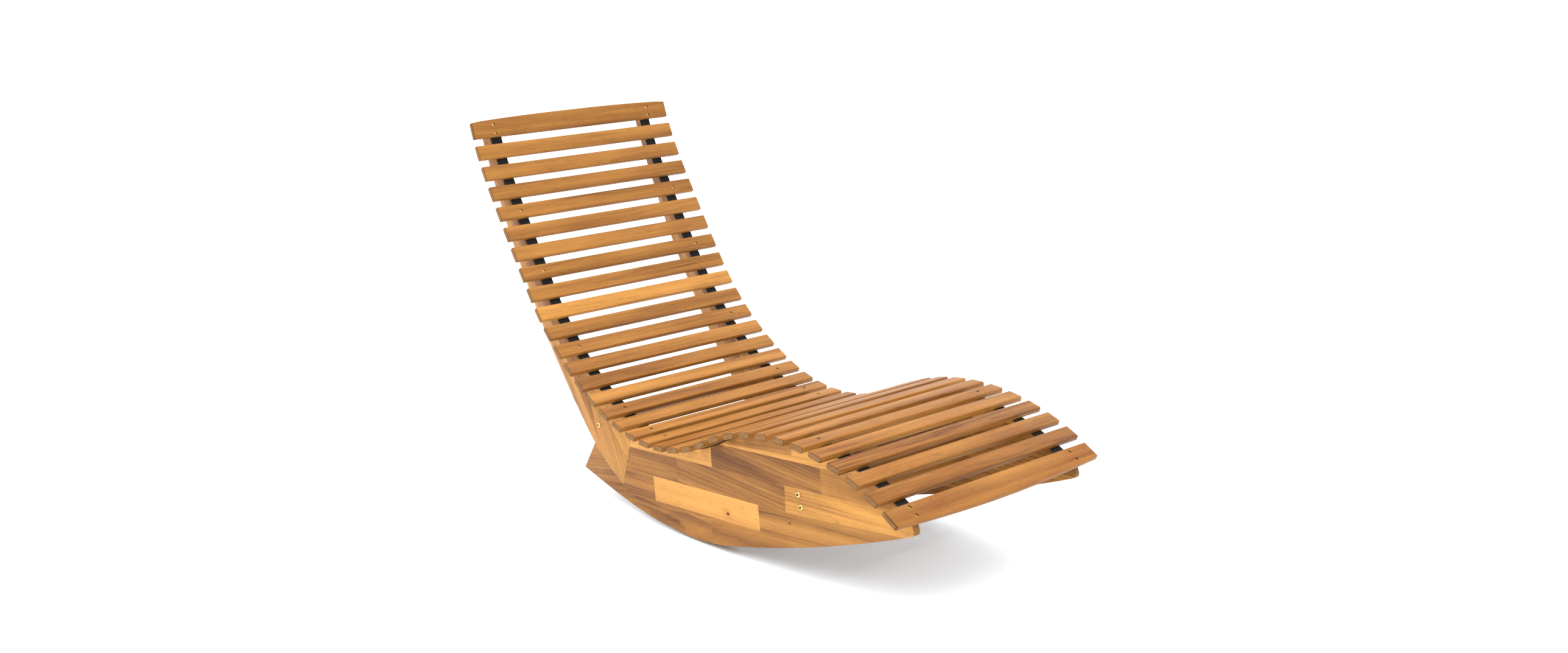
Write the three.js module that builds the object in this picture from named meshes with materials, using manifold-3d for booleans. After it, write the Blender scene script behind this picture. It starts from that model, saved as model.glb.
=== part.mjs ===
// Rocking chaise lounge in solid acacia.
// A slatted mat lies on two side frames. Each frame is a rocker panel, a curved back rail
// butted against it and a rear rocker plate that splices the joint on the inside and carries
// the chair on the floor. Two stretchers bolt the frames together.
// Millimetres. X points to the foot end, Y to the sitter's left, Z up.
// The side outlines are drawn with the floor contact at X = 0 and Z = 0. Each long edge is a
// chain of arcs that run smoothly into each other.

import * as THREE from 'three';
import { mergeVertices } from 'three/addons/utils/BufferGeometryUtils.js';
import Module from 'manifold-3d';

const wasm = await Module();
wasm.setup();

// Slats
const slatLength = 600;
const slatWidth = 38;
const slatThickness = 13.5;
const slatCorner = 3;
const regularSlats = 32;
const headSlatWidth = 42.5;
const headSlatArch = 7.5;
const headArchFullness = 0.5;
const footSlatWidth = 44;
const footSlatBow = 11.5;
const footBowFullness = 1;

// Line that the undersides of the slats follow, as arcs from the low point of the seat
const seatLowAhead = -9;
const seatLowHeight = 217;
const seatRadius = 460;
const seatRearLength = 195;
const lumbarLength = 399;
const lumbarRadius = 686;
const backLength = 297;
const backRadius = 6900;
const headrestLength = 173;
const headrestRadius = 661;
const seatFrontLength = 207;
const kneeLength = 637;
const kneeRadius = 608;

// Side frames
const frameThickness = 18;
const frameInset = 52;
const railTopSetback = 12;
const railTopDepth = 41;
const toeSetback = 7;
const toeDepth = 27;
const toeAngle = -70;
const toeRound = 10;

// Lower edges of the side frames, as arcs from the floor contact
const rockerRadius = 1000;
const rockerFrontLength = 208;
const rockerRearLength = 236;
const rockerTailLength = 178;
const rockerTailRadius = 4200;
const contactFlat = 60;
const bellyFrontLength = 263;
const bellyFrontRadius = 677;
const bellyRearLength = 354;
const bellyRearRadius = 511;

// Butt joint between rail and panel, along the mat from the head end and along the belly
const seamOnMat = 922;
const seamOnBelly = 427;

// Rear rocker plates
const plateThickness = 18;
const plateWidth = 94;
const plateRearAngle = 54;
const plateFrontReach = 215;
const plateFrontWidth = 70;
const plateCrownX = -80;
const plateCrownZ = 168;

// Webbing straps
const strapWidth = 30;
const strapThickness = 1.4;
const strapInset = 53.5;
const strapEndSetback = 6;

// Stretchers
const frontStretcherAhead = 285;
const frontStretcherDepth = 101;
const frontStretcherHeight = 92;
const frontStretcherThickness = 25;
const frontBoltSpacing = 27.6;
const backStretcherPlace = 589;
const backStretcherDepth = 53;
const backStretcherWidth = 58;
const backStretcherThickness = 20;
const stretcherRound = 3;

// Fasteners
const slatScrewShank = 2;
const slatScrewHead = 3.9;
const slatScrewRecess = 6;
const slatScrewBite = 22;
const slatScrewInset = 62;
const wideSlatScrewSpacing = 22;
const frameBoltShank = 3;
const frameBoltHead = 7.2;
const frameBoltHeadHeight = 3.4;
const frameBoltHexRadius = 2.4;
const frameBoltHexDepth = 2.4;
const frameBoltBite = 46;
const barrelNutRadius = 5;
const barrelNutInset = 36;
const barrelNutCover = 3;
const dowelRadius = 4;
const dowelLength = 44;
const stretcherDowelLength = 36;
const stretcherDowelOffset = 19;
const stretcherDowelBite = 11;
const seamDowelShare = 0.6;
const plateScrewShank = 2;
const plateScrewHead = 4;
const plateScrewRecess = 4.4;
const plateScrewBite = 13;

// Clearances
const seatClearance = 0.3;
const fitClearance = 0.3;
const pilotClearance = 0.25;
const frameClearance = 0.75;
const cutOverrun = 4;

// Facets
const matStepsPerSlat = 3;
const lowerEdgeStep = 36;
const cornerSteps = 2;
const bowSteps = 16;
const toeSteps = 5;
const holeSides = 10;
const recessSides = 12;
const boltSides = 16;
const domeSteps = 4;
const hexSides = 6;

// Slats that are screwed down, counted from the head end
const screwedSlatNumbers = [5, 8, 12, 16, 18, 19, 24, 29];

// Derived sizes
const rearMatLength = seatRearLength + lumbarLength + backLength + headrestLength;
const matLength = rearMatLength + seatFrontLength + kneeLength;
const slatsTogether = headSlatWidth + regularSlats * slatWidth + footSlatWidth;
const slatGap = (matLength - slatsTogether) / (regularSlats + 1);
const slatPitch = slatWidth + slatGap;
const slatCount = regularSlats + 2;
const frameOuterY = slatLength / 2 - frameInset;
const frameInnerY = frameOuterY - frameThickness;
const plateOuterY = frameInnerY - seatClearance;
const strapY = slatLength / 2 - strapInset - strapWidth / 2;
const slatScrewY = slatLength / 2 - slatScrewInset;
const frameDrop = strapThickness + seatClearance + frameClearance;
const stretcherLength = 2 * (frameInnerY - seatClearance);

// The left frame is on the sitter's left, at positive Y
const sides = [
  { name: 'left', sign: 1 },
  { name: 'right', sign: -1 },
];

// Rearwards from the low point of the seat up the back, and forwards over the knees
const backOfMat = [
  { length: seatRearLength, radius: seatRadius, turn: -1 },
  { length: lumbarLength, radius: lumbarRadius, turn: -1 },
  { length: backLength, radius: backRadius, turn: -1 },
  { length: headrestLength, radius: headrestRadius, turn: -1 },
];
const frontOfMat = [
  { length: seatFrontLength, radius: seatRadius, turn: 1 },
  { length: kneeLength, radius: kneeRadius, turn: -1 },
];

// One arc further along a line that turns left (1) or right (-1)
function arcEnd(from, length, radius, turn) {
  const angle = from.angle + (turn * length) / radius;
  const x = from.x + turn * radius * (Math.sin(angle) - Math.sin(from.angle));
  const z = from.z - turn * radius * (Math.cos(angle) - Math.cos(from.angle));
  return { x, z, angle };
}

// Place and heading at a distance along a chain of arcs
function placeOn(start, arcs, distance) {
  let from = start;
  let left = distance;
  for (const arc of arcs) {
    if (left <= arc.length) return arcEnd(from, left, arc.radius, arc.turn);
    from = arcEnd(from, arc.length, arc.radius, arc.turn);
    left -= arc.length;
  }
  return arcEnd(from, left, arcs.at(-1).radius, arcs.at(-1).turn);
}

// Step sideways from a place, positive to the left of its heading
function beside(place, across, ahead = 0) {
  const x = place.x - across * Math.sin(place.angle) + ahead * Math.cos(place.angle);
  const z = place.z + across * Math.cos(place.angle) + ahead * Math.sin(place.angle);
  return new THREE.Vector2(x, z);
}

// Distances from one end of a stretch to the other in even steps
function spread(from, to, step) {
  const count = Math.max(1, Math.ceil(Math.abs(to - from) / step));
  const distances = [];
  for (let i = 0; i <= count; i += 1) {
    distances.push(from + ((to - from) * i) / count);
  }
  return distances;
}

// Points along a chain of arcs
function edgePoints(start, arcs, from, to, step) {
  return spread(from, to, step).map((distance) => beside(placeOn(start, arcs, distance), 0));
}

// The arc that leaves a place along its heading and ends on a target point
function arcThrough(from, target) {
  const reachX = target.x - from.x;
  const reachZ = target.y - from.z;
  const bend = Math.atan2(reachZ, reachX) - from.angle;
  const half = Math.atan2(Math.sin(bend), Math.cos(bend));
  const radius = Math.hypot(reachX, reachZ) / (2 * Math.abs(Math.sin(half)));
  return { length: 2 * Math.abs(half) * radius, radius, turn: Math.sign(half) };
}

function reversed(place) {
  return { x: place.x, z: place.z, angle: place.angle + Math.PI };
}

// Place on the mat line at a distance from its head end, heading for the foot end
function matPlace(distance) {
  const ahead = distance - rearMatLength;
  const seatLow = { x: seatLowAhead, z: seatLowHeight, angle: 0 };
  if (ahead >= 0) return placeOn(seatLow, frontOfMat, ahead);
  return reversed(placeOn(reversed(seatLow), backOfMat, -ahead));
}

function lengthOf(arcs) {
  return arcs.reduce((sum, arc) => sum + arc.length, 0);
}

// Width and place of each slat along the mat line
function slatStations() {
  const stations = [];
  let edge = 0;
  for (let number = 1; number <= slatCount; number += 1) {
    let width = slatWidth;
    if (number === 1) width = headSlatWidth;
    if (number === slatCount) width = footSlatWidth;
    const middle = edge + width / 2;
    stations.push({ number, width, middle, place: matPlace(middle) });
    edge += width + slatGap;
  }
  return stations;
}

const stations = slatStations();

// Distances across a slat at which its screws stand, from its centre line
function screwOffsets(number) {
  if (number === 1 || number === slatCount) return [-wideSlatScrewSpacing / 2, wideSlatScrewSpacing / 2];
  if (screwedSlatNumbers.includes(number)) return [0];
  return [];
}

// A closed geometry reduced to shared positions, as the boolean library needs it
function positionsOnly(geometry) {
  const plain = geometry.clone();
  plain.deleteAttribute('normal');
  plain.deleteAttribute('uv');
  return mergeVertices(plain);
}

function toSolid(geometry) {
  const plain = positionsOnly(geometry);
  const vertProperties = new Float32Array(plain.attributes.position.array);
  const triVerts = new Uint32Array(plain.index.array);
  return new wasm.Manifold(new wasm.Mesh({ numProp: 3, vertProperties, triVerts }));
}

function toGeometry(solid) {
  const mesh = solid.getMesh();
  const geometry = new THREE.BufferGeometry();
  geometry.setAttribute('position', new THREE.BufferAttribute(new Float32Array(mesh.vertProperties), 3));
  geometry.setIndex(new THREE.BufferAttribute(new Uint32Array(mesh.triVerts), 1));
  geometry.computeVertexNormals();
  return geometry;
}

// Cut each tool from a body
function cut(geometry, tools) {
  let body = toSolid(geometry);
  for (const tool of tools) {
    body = body.subtract(toSolid(tool));
  }
  return toGeometry(body);
}

// A board with the given side outline, from one Y to the other
function board(points, fromY, toY) {
  const depth = Math.abs(toY - fromY);
  const shape = new THREE.Shape(points);
  const geometry = new THREE.ExtrudeGeometry(shape, { depth, bevelEnabled: false });
  geometry.rotateX(Math.PI / 2);
  geometry.translate(0, Math.max(fromY, toY), 0);
  return geometry;
}

// A round bar along Z from one height to another
function pegZ(radius, fromZ, toZ, round) {
  const geometry = new THREE.CylinderGeometry(radius, radius, toZ - fromZ, round);
  geometry.rotateX(Math.PI / 2);
  geometry.translate(0, 0, (fromZ + toZ) / 2);
  return geometry;
}

// A round bar along Y from one side to another
function pegY(radius, fromY, toY, round) {
  const low = Math.min(fromY, toY);
  const high = Math.max(fromY, toY);
  const geometry = new THREE.CylinderGeometry(radius, radius, high - low, round);
  geometry.translate(0, (low + high) / 2, 0);
  return geometry;
}

// Stand a shape made in a slat's own axes on its place along the mat
function onMat(geometry, place) {
  const moved = geometry.clone();
  moved.rotateY(-place.angle);
  moved.translate(place.x, 0, place.z);
  return moved;
}

function acacia(color, roughness = 0.62) {
  return new THREE.MeshStandardMaterial({ color, roughness, metalness: 0 });
}

const slatWood = acacia(0xc99358);
const wideSlatWood = acacia(0xbd8a50);
const panelWood = acacia(0xcf9550);
const railWood = acacia(0xd6a06a);
const plateWood = acacia(0xb98344);
const stretcherWood = acacia(0xa87440);
const dowelWood = acacia(0xd9b98a, 0.7);
const webbing = new THREE.MeshStandardMaterial({ color: 0x26262a, roughness: 0.9, metalness: 0 });
const brass = new THREE.MeshStandardMaterial({ color: 0xd8b45a, roughness: 0.3, metalness: 1 });

const chair = new THREE.Group();

function addPiece(name, geometry, material) {
  const mesh = new THREE.Mesh(geometry, material);
  mesh.name = name;
  chair.add(mesh);
  return mesh;
}

// Slats

// Cross-section of a regular slat, standing on its underside
function slatSection() {
  const half = slatWidth / 2;
  const points = [];
  const corners = [
    { x: half - slatCorner, z: slatCorner, start: -Math.PI / 2 },
    { x: half - slatCorner, z: slatThickness - slatCorner, start: 0 },
    { x: slatCorner - half, z: slatThickness - slatCorner, start: Math.PI / 2 },
    { x: slatCorner - half, z: slatCorner, start: Math.PI },
  ];
  for (const corner of corners) {
    for (let i = 0; i <= cornerSteps; i += 1) {
      const angle = corner.start + ((Math.PI / 2) * i) / cornerSteps;
      const x = corner.x + slatCorner * Math.cos(angle);
      const z = corner.z + slatCorner * Math.sin(angle);
      points.push(new THREE.Vector2(x, z));
    }
  }
  return points;
}

// A wide slat seen from above: one long edge straight, the other bowed outwards. The lower the
// fullness, the nearer the ends the bow rises and the flatter it is in the middle.
function wideSlatGeometry(width, bow, fullness, bowedSide) {
  const inner = slatLength / 2 - slatCorner;
  const straight = -bowedSide * (width / 2 - slatCorner);
  const bowed = bowedSide * (width / 2 - slatCorner);
  const points = [new THREE.Vector2(straight, -inner), new THREE.Vector2(straight, inner)];
  for (let i = 0; i <= bowSteps; i += 1) {
    const share = i / bowSteps;
    const swell = bow * Math.abs(Math.sin(Math.PI * share)) ** fullness;
    points.push(new THREE.Vector2(bowed + bowedSide * swell, inner - 2 * inner * share));
  }
  const shape = new THREE.Shape(points);
  const rounding = {
    depth: slatThickness - 2 * slatCorner,
    bevelEnabled: true,
    bevelThickness: slatCorner,
    bevelSize: slatCorner,
    bevelSegments: cornerSteps,
  };
  const geometry = new THREE.ExtrudeGeometry(shape, rounding);
  geometry.translate(0, 0, slatCorner);
  return geometry;
}

// Recess and clearance hole for one slat screw, in the slat's own axes
function slatHoleTools(number) {
  const tools = [];
  const floor = slatThickness - slatScrewRecess;
  for (const offset of screwOffsets(number)) {
    for (const side of sides) {
      const recess = pegZ(slatScrewHead + fitClearance, floor, slatThickness + cutOverrun, recessSides);
      const hole = pegZ(slatScrewShank + fitClearance, -cutOverrun, floor + fitClearance, holeSides);
      for (const tool of [recess, hole]) {
        tool.translate(offset, side.sign * slatScrewY, 0);
        tools.push(tool);
      }
    }
  }
  return tools;
}

// A slat before its screw holes are made
function slatBlank(number) {
  if (number === 1) return wideSlatGeometry(headSlatWidth, headSlatArch, headArchFullness, -1);
  if (number === slatCount) return wideSlatGeometry(footSlatWidth, footSlatBow, footBowFullness, 1);
  return board(slatSection(), -slatLength / 2, slatLength / 2);
}

function slatGeometry(station) {
  return cut(slatBlank(station.number), slatHoleTools(station.number));
}

for (const station of stations) {
  const wide = station.number === 1 || station.number === slatCount;
  const name = `slat_${String(station.number).padStart(2, '0')}`;
  const slat = addPiece(name, slatGeometry(station), wide ? wideSlatWood : slatWood);
  slat.position.set(station.place.x, 0, station.place.z);
  slat.rotation.y = -station.place.angle;
}

// Holes for the screws that hold the mat to the frames, run from the slats into a side frame
function matScrewHoles(clearance, side) {
  const top = slatThickness - slatScrewRecess;
  const bottom = -frameDrop - slatScrewBite;
  const holes = [];
  for (const station of stations) {
    for (const offset of screwOffsets(station.number)) {
      const hole = pegZ(slatScrewShank + clearance, bottom, top, holeSides);
      hole.translate(offset, side.sign * slatScrewY, 0);
      holes.push(onMat(hole, station.place));
    }
  }
  return holes;
}

// Webbing straps between the slats and the frames

function strapOutline() {
  const upper = [];
  const lower = [];
  for (const station of stations) {
    let rear = -station.width / 2;
    let front = station.width / 2;
    if (station.number === 1) rear += strapEndSetback;
    if (station.number === slatCount) front -= strapEndSetback;
    for (const ahead of [rear, front]) {
      upper.push(beside(station.place, -seatClearance, ahead));
      lower.push(beside(station.place, -seatClearance - strapThickness, ahead));
    }
  }
  return upper.concat(lower.reverse());
}

for (const side of sides) {
  const inner = side.sign * (strapY - strapWidth / 2);
  const outer = side.sign * (strapY + strapWidth / 2);
  const strap = board(strapOutline(), inner, outer);
  addPiece(`strap_${side.name}`, cut(strap, matScrewHoles(fitClearance, side)), webbing);
}

// Side outlines of the frame boards

// Point on the upper edge of a frame board, just under the strap
function frameTop(distance) {
  return beside(matPlace(distance), -frameDrop);
}

// Sharp toe corner of a panel, before it is rounded
const toeTop = frameTop(matLength - toeSetback);
const toeHeading = { x: toeTop.x, z: toeTop.y, angle: THREE.MathUtils.degToRad(toeAngle) };
const toeCorner = beside(toeHeading, 0, toeDepth);

// Lower edge from the floor contact to the toe, shared by panels and plates
const floorContact = { x: 0, z: 0, angle: 0 };
const rockerFront = { length: rockerFrontLength, radius: rockerRadius, turn: 1 };
const rockerFrontEnd = placeOn(floorContact, [rockerFront], rockerFrontLength);
const frontEdgeArcs = [rockerFront, arcThrough(rockerFrontEnd, toeCorner)];
const frontEdgeLength = lengthOf(frontEdgeArcs);

// Lower edge of a plate from the floor contact to its tail
const rearEdgeArcs = [
  { length: rockerRearLength, radius: rockerRadius, turn: -1 },
  { length: rockerTailLength, radius: rockerTailRadius, turn: -1 },
];

// Rear edge of panel and rail, from the front end of the rocker curve up to the rail top
const bellyStart = reversed(rockerFrontEnd);
const bellyArcs = [
  { length: bellyFrontLength, radius: bellyFrontRadius, turn: -1 },
  { length: bellyRearLength, radius: bellyRearRadius, turn: -1 },
];
const railTopRear = beside(matPlace(railTopSetback), -frameDrop - railTopDepth);
const bellyEnd = placeOn(bellyStart, bellyArcs, lengthOf(bellyArcs));
const rearEdge = [...bellyArcs, arcThrough(bellyEnd, railTopRear)];
const rearEdgeLength = lengthOf(rearEdge);

const seamTop = frameTop(seamOnMat);
const seamBottom = beside(placeOn(bellyStart, rearEdge, seamOnBelly), 0);
const seamAlong = seamTop.clone().sub(seamBottom).normalize();
const seamForward = new THREE.Vector2(seamAlong.y, -seamAlong.x);
const seamGap = seamForward.clone().multiplyScalar(seatClearance / 2);

// Drop the points of an edge that reach past the seam, then close the edge on the seam
function trimmedAtSeam(points, end, forward) {
  const kept = points.filter((point) => forward * point.clone().sub(end).dot(seamForward) > seatClearance);
  return { kept, end: end.clone().addScaledVector(seamGap, forward) };
}

function topEdge(from, to) {
  return spread(from, to, slatPitch / matStepsPerSlat).map(frameTop);
}

// Rounded toe between the end of the upper edge and the lower edge
function toePoints() {
  const lowerHeading = placeOn(floorContact, frontEdgeArcs, frontEdgeLength).angle + Math.PI;
  const sweep = toeHeading.angle - (lowerHeading - 2 * Math.PI);
  const toTangent = toeRound * Math.tan(sweep / 2);
  const from = beside(toeHeading, 0, toeDepth - toTangent);
  const start = { x: from.x, z: from.y, angle: toeHeading.angle };
  const length = toeRound * sweep;
  const round = [{ length, radius: toeRound, turn: -1 }];
  return { points: edgePoints(start, round, 0, length, length / toeSteps), toTangent };
}

function panelOutline() {
  const top = trimmedAtSeam(topEdge(seamOnMat, matLength - toeSetback), seamTop, 1);
  const toe = toePoints();
  const lowerEnd = frontEdgeLength - toe.toTangent;
  const lower = edgePoints(floorContact, frontEdgeArcs, lowerEnd, rockerFrontLength, lowerEdgeStep);
  const belly = edgePoints(bellyStart, rearEdge, 0, seamOnBelly, lowerEdgeStep);
  const bottom = trimmedAtSeam(belly.slice(1), seamBottom, 1);
  return [top.end, ...top.kept, ...toe.points, ...lower.slice(1), ...bottom.kept, bottom.end];
}

function railOutline() {
  const top = trimmedAtSeam(topEdge(railTopSetback, seamOnMat), seamTop, -1);
  const rearPoints = edgePoints(bellyStart, rearEdge, seamOnBelly, rearEdgeLength, lowerEdgeStep);
  const rear = trimmedAtSeam(rearPoints, seamBottom, -1);
  return [...top.kept, top.end, rear.end, ...rear.kept];
}

// The plate's lower edge in flat steps, the one at the floor contact lying flat on the floor
function plateLowerEdge() {
  const halfFlat = contactFlat / 2;
  const tail = lengthOf(rearEdgeArcs);
  const front = edgePoints(floorContact, frontEdgeArcs, plateFrontReach, halfFlat, contactFlat);
  const rear = edgePoints(reversed(floorContact), rearEdgeArcs, halfFlat, tail, contactFlat);
  return [...front, ...rear];
}

function plateOutline() {
  const lower = plateLowerEdge();
  const tail = lower.at(-1);
  const rearCut = { x: tail.x, z: tail.y, angle: THREE.MathUtils.degToRad(plateRearAngle) };
  const rearTop = beside(rearCut, 0, plateWidth);
  const crown = new THREE.Vector2(plateCrownX, plateCrownZ);
  const frontFoot = placeOn(floorContact, frontEdgeArcs, plateFrontReach);
  const frontTop = beside(frontFoot, plateFrontWidth);
  return [...lower, rearTop, crown, frontTop];
}

// Dowel across the seam between rail and panel

function seamDowel(clearance, round, side) {
  const middle = seamBottom.clone().lerp(seamTop, seamDowelShare);
  const half = dowelLength / 2 + clearance;
  const geometry = pegZ(dowelRadius + clearance, -half, half, round);
  geometry.rotateY(Math.PI / 2 + Math.atan2(-seamForward.y, seamForward.x));
  geometry.translate(middle.x, side.sign * (frameInnerY + frameThickness / 2), middle.y);
  return geometry;
}

// Bolts through the frames into the stretchers

// The front stretcher stands square to the lower edge of the panels
const underFrontStretcher = placeOn(floorContact, frontEdgeArcs, rockerFrontLength + frontStretcherAhead);
const lean = underFrontStretcher.angle;
const frontStretcherMiddle = beside(underFrontStretcher, frontStretcherDepth);

function frontBolt(name, along) {
  const point = beside(underFrontStretcher, frontStretcherDepth + along);
  return { name, x: point.x, z: point.y };
}

const frontBolts = [
  frontBolt('front_upper', frontBoltSpacing / 2),
  frontBolt('front_lower', -frontBoltSpacing / 2),
];

const backStretcherFoot = placeOn(bellyStart, rearEdge, backStretcherPlace);
const backStretcherMiddle = beside(backStretcherFoot, -backStretcherDepth);
const backBolts = [{ name: 'back', x: backStretcherMiddle.x, z: backStretcherMiddle.y }];

function at(geometry, place) {
  return geometry.clone().translate(place.x, 0, place.z);
}

function boltHoleTools(places, side) {
  const from = side.sign * (stretcherLength / 2 - frameBoltBite - fitClearance);
  const to = side.sign * (frameOuterY + cutOverrun);
  return places.map((place) => at(pegY(frameBoltShank + fitClearance, from, to, holeSides), place));
}

function frameBolt(side) {
  const profile = [new THREE.Vector2(0, 0), new THREE.Vector2(frameBoltHead, 0)];
  for (let i = 1; i <= domeSteps; i += 1) {
    const angle = ((Math.PI / 2) * i) / domeSteps;
    const radius = frameBoltHead * Math.cos(angle);
    profile.push(new THREE.Vector2(i === domeSteps ? 0 : radius, frameBoltHeadHeight * Math.sin(angle)));
  }
  const head = new THREE.LatheGeometry(profile, boltSides);
  const overlap = frameBoltHeadHeight / 2;
  const shaft = pegY(frameBoltShank, stretcherLength / 2 - frameBoltBite - frameOuterY, overlap, holeSides);
  const hexTop = frameBoltHeadHeight + cutOverrun;
  const hex = pegY(frameBoltHexRadius, frameBoltHeadHeight - frameBoltHexDepth, hexTop, hexSides);
  const geometry = toGeometry(toSolid(head).add(toSolid(shaft)).subtract(toSolid(hex)));
  geometry.translate(0, frameOuterY + seatClearance, 0);
  if (side.sign < 0) geometry.rotateX(Math.PI);
  return geometry;
}

// Dowel that stops the back stretcher turning on its one bolt
const turnDowelPlace = { x: backStretcherMiddle.x + stretcherDowelOffset, z: backStretcherMiddle.y };

function turnDowel(radius, extra, round, side) {
  const outer = frameInnerY + stretcherDowelBite + extra;
  const inner = frameInnerY + stretcherDowelBite - stretcherDowelLength - extra;
  return at(pegY(radius, side.sign * inner, side.sign * outer, round), turnDowelPlace);
}

// Stretchers

function stretcherSection(width, height) {
  const x = width / 2;
  const z = height / 2;
  const r = stretcherRound;
  const outline = [
    [r - x, -z], [x - r, -z], [x, r - z], [x, z - r],
    [x - r, z], [r - x, z], [-x, z - r], [-x, r - z],
  ];
  return outline.map(([px, pz]) => new THREE.Vector2(px, pz));
}

// The two kinds of bolted joint: nuts enter the front stretcher from its rear face and the
// back stretcher from below
const frontJoint = { bolts: frontBolts, thickness: frontStretcherThickness, nutTurn: -Math.PI / 2 - lean };
const backJoint = { bolts: backBolts, thickness: backStretcherThickness, nutTurn: Math.PI };

function acrossStretcher(geometry, joint, place, side) {
  geometry.rotateY(joint.nutTurn);
  geometry.translate(place.x, side.sign * (stretcherLength / 2 - barrelNutInset), place.z);
  return geometry;
}

function barrelNut(joint, place, side) {
  const half = joint.thickness / 2 - barrelNutCover;
  const nut = acrossStretcher(pegZ(barrelNutRadius, -half, half, recessSides), joint, place, side);
  const middleY = side.sign * (stretcherLength / 2 - barrelNutInset);
  const reach = barrelNutRadius + cutOverrun;
  const bore = pegY(frameBoltShank + fitClearance, middleY - reach, middleY + reach, holeSides);
  return cut(nut, [at(bore, place)]);
}

function barrelNutHole(joint, place, side) {
  const bottom = barrelNutCover - joint.thickness / 2 - fitClearance;
  const hole = pegZ(barrelNutRadius + fitClearance, bottom, joint.thickness / 2 + cutOverrun, recessSides);
  return acrossStretcher(hole, joint, place, side);
}

function jointTools(joint, side) {
  const nutHoles = joint.bolts.map((place) => barrelNutHole(joint, place, side));
  return [...boltHoleTools(joint.bolts, side), ...nutHoles];
}

function stretcherBoard(width, height) {
  const half = stretcherLength / 2;
  return board(stretcherSection(width, height), -half, half);
}

function frontStretcherGeometry() {
  const geometry = stretcherBoard(frontStretcherThickness, frontStretcherHeight);
  geometry.rotateY(-lean);
  geometry.translate(frontStretcherMiddle.x, 0, frontStretcherMiddle.y);
  return cut(geometry, sides.flatMap((side) => jointTools(frontJoint, side)));
}

function backStretcherGeometry() {
  const geometry = stretcherBoard(backStretcherWidth, backStretcherThickness);
  geometry.translate(backStretcherMiddle.x, 0, backStretcherMiddle.y);
  const turnHole = (side) => turnDowel(dowelRadius + fitClearance, fitClearance, recessSides, side);
  return cut(geometry, sides.flatMap((side) => [...jointTools(backJoint, side), turnHole(side)]));
}

addPiece('front_stretcher', frontStretcherGeometry(), stretcherWood);
addPiece('back_stretcher', backStretcherGeometry(), stretcherWood);

for (const side of sides) {
  for (const joint of [frontJoint, backJoint]) {
    for (const place of joint.bolts) {
      addPiece(`frame_bolt_${place.name}_${side.name}`, at(frameBolt(side), place), brass);
      addPiece(`barrel_nut_${place.name}_${side.name}`, barrelNut(joint, place, side), brass);
    }
  }
  addPiece(`stretcher_dowel_${side.name}`, turnDowel(dowelRadius, 0, holeSides, side), dowelWood);
}

// Holes for the screws that fix a rear rocker plate to rail and panel from the inside

const plateScrewPlaces = [
  { x: plateCrownX, z: plateCrownZ - plateWidth / 4 },
  { x: plateCrownX, z: plateCrownZ - plateWidth },
  { x: plateFrontReach / 3, z: plateFrontWidth / 2 },
  { x: seamBottom.x - plateWidth / 3, z: plateCrownZ - plateWidth / 3 },
  { x: seamBottom.x - plateWidth / 3, z: plateCrownZ - plateWidth / 2 },
];

function atPlateScrews(geometry) {
  return plateScrewPlaces.map((place) => at(geometry, place));
}

function plateHoles(side) {
  const outside = side.sign * (plateOuterY - plateThickness - cutOverrun);
  const floor = side.sign * (plateOuterY - plateThickness + plateScrewRecess);
  const far = side.sign * (plateOuterY + cutOverrun);
  const recess = pegY(plateScrewHead + fitClearance, outside, floor, recessSides);
  const hole = pegY(plateScrewShank + fitClearance, outside, far, holeSides);
  return [...atPlateScrews(recess), ...atPlateScrews(hole)];
}

function platePilotHoles(side) {
  const outside = side.sign * (frameInnerY - cutOverrun);
  const end = side.sign * (frameInnerY + plateScrewBite);
  return atPlateScrews(pegY(plateScrewShank + pilotClearance, outside, end, holeSides));
}

// Frame boards

function addFrame(side) {
  const inner = side.sign * frameInnerY;
  const outer = side.sign * frameOuterY;
  const seamHole = seamDowel(fitClearance, recessSides, side);
  const shared = [...matScrewHoles(pilotClearance, side), ...platePilotHoles(side), seamHole];
  const panelTools = [...shared, ...boltHoleTools(frontBolts, side)];
  const turnHole = turnDowel(dowelRadius + fitClearance, fitClearance, recessSides, side);
  const railTools = [...shared, ...boltHoleTools(backBolts, side), turnHole];
  addPiece(`rocker_panel_${side.name}`, cut(board(panelOutline(), inner, outer), panelTools), panelWood);
  addPiece(`back_rail_${side.name}`, cut(board(railOutline(), inner, outer), railTools), railWood);
  addPiece(`seam_dowel_${side.name}`, seamDowel(0, holeSides, side), dowelWood);

  const plateInner = side.sign * (plateOuterY - plateThickness);
  const plate = board(plateOutline(), plateInner, side.sign * plateOuterY);
  addPiece(`rear_rocker_${side.name}`, cut(plate, plateHoles(side)), plateWood);
}

sides.forEach(addFrame);

// Stand the chair on the floor with its origin under the middle of its bounding box
const extent = new THREE.Box3().setFromObject(chair, true);
const middle = extent.getCenter(new THREE.Vector3());
chair.position.set(-middle.x, -middle.y, -extent.min.z);
chair.updateMatrixWorld(true);

export default chair;
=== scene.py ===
# %% [markdown]
# # Rocking chaise lounge in oiled acacia
# A mat of thirty-four slats lies on two S-shaped side frames, and the lower edges of the frames
# are the rockers. A workshop would saw the frame boards from edge-glued acacia panel, plane and
# round over the slats, staple them to two webbing straps and screw the mat down.
# This notebook takes the solids as a fixed frame and gives each piece its rounded edges,
# its grain and its finish. Lengths are in metres; only glue lines, knots and plate screws are
# placed in millimetres.

# %% Load the solids
import math
import random
from collections import namedtuple
import bmesh
import bpy
from mathutils import Matrix, Vector


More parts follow.
